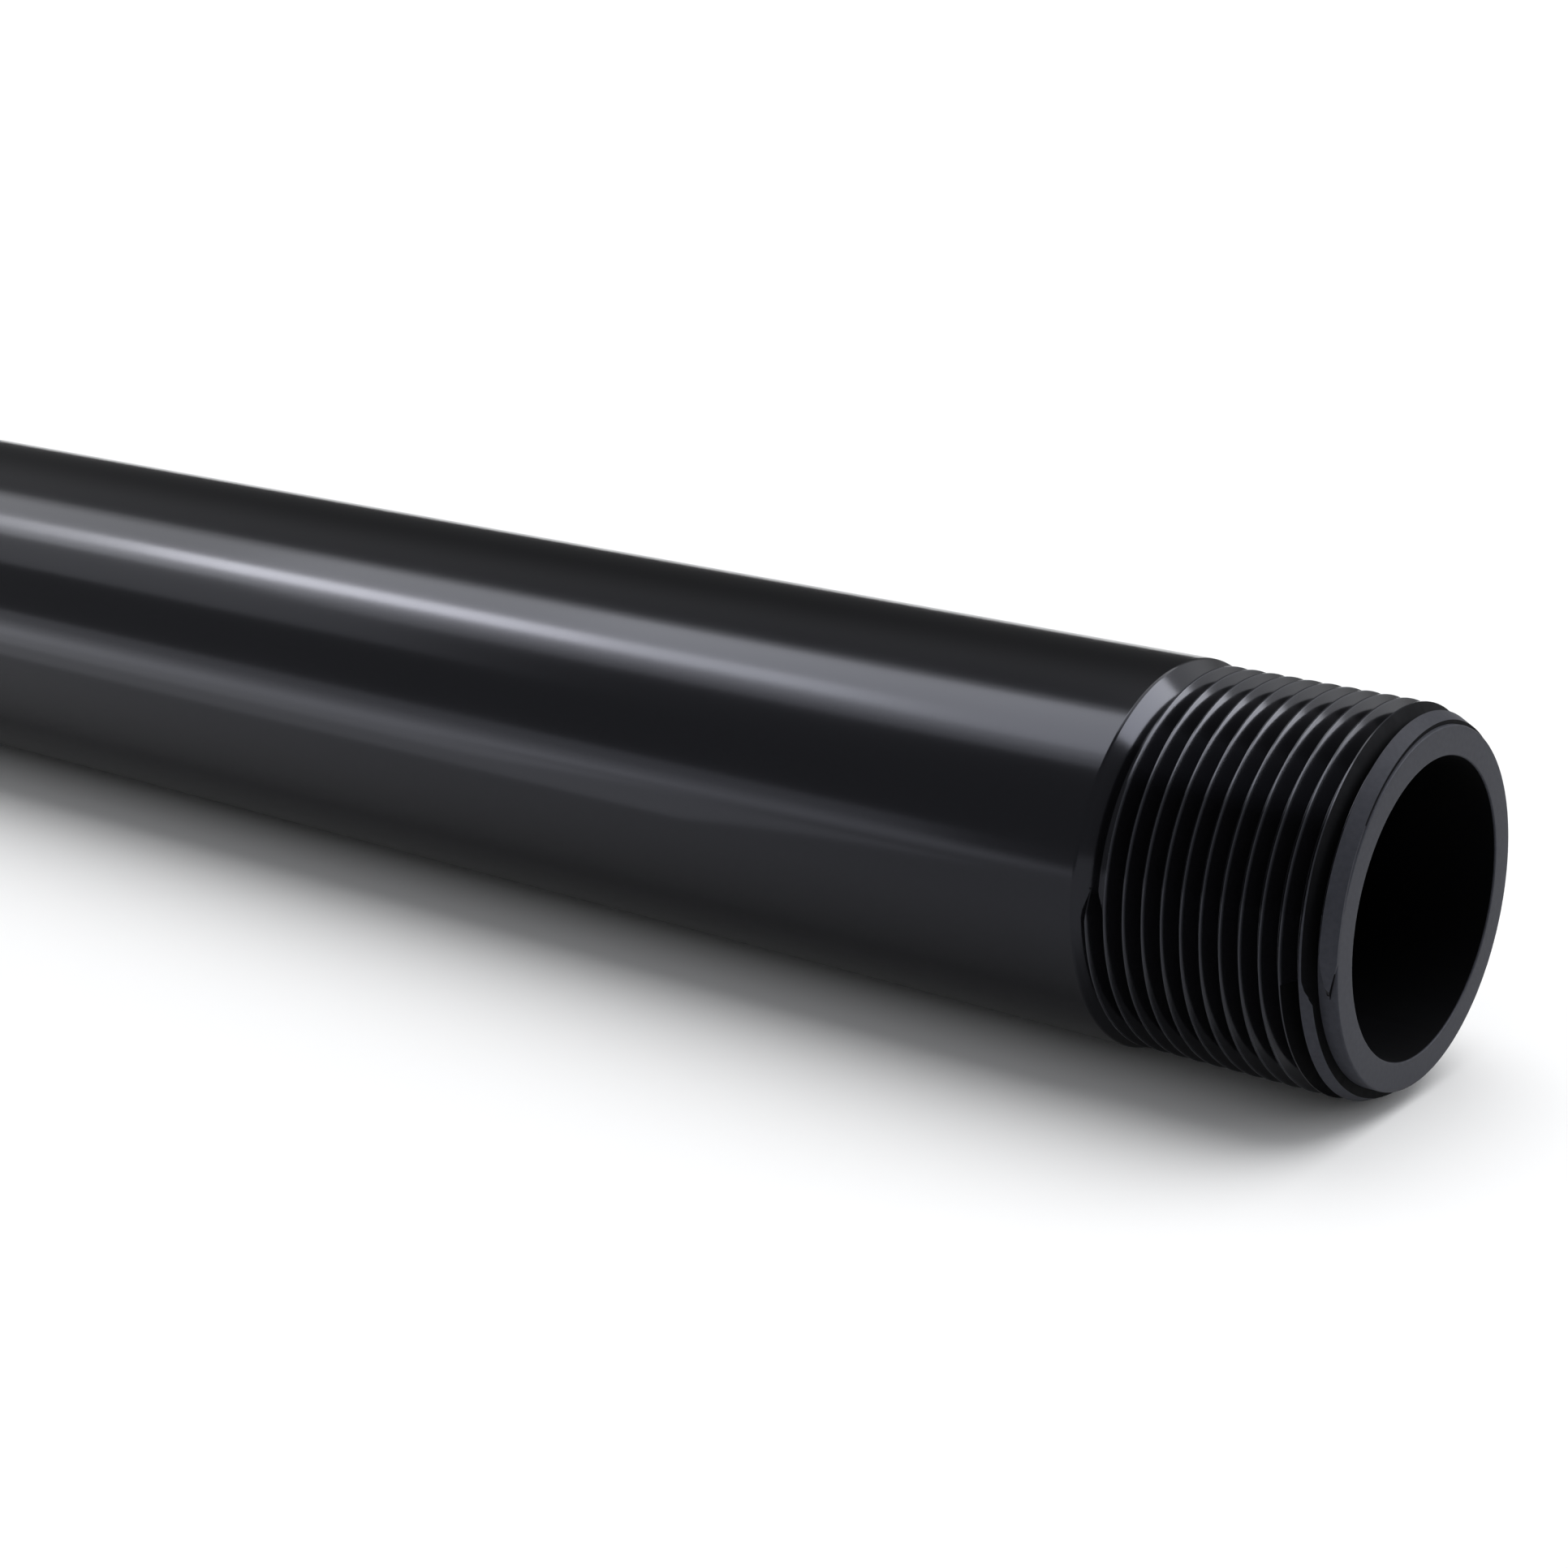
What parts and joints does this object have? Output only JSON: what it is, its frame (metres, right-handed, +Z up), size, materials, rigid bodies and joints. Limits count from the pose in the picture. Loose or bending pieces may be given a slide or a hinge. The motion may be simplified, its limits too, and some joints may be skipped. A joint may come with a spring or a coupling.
{
  "type": "threaded electrical conduit",
  "caption": "Short length of heavy steel conduit in gloss black enamel, with a right-hand thread, shoulder and chamfered end at each end, and a plain bore for wires.",
  "frame": {"origin": "on the tube's axis, halfway between its end faces", "axes": "+X along the tube's axis, out through one end; +Z up as the tube lies on a surface"},
  "size_m": [0.3048, 0.042, 0.0422],
  "materials": {
    "enamel": "gloss black enamel on steel"
  },
  "bodies": {
    "root": {"threaded_conduit": "enamel"}
  },
  "joints": []
}
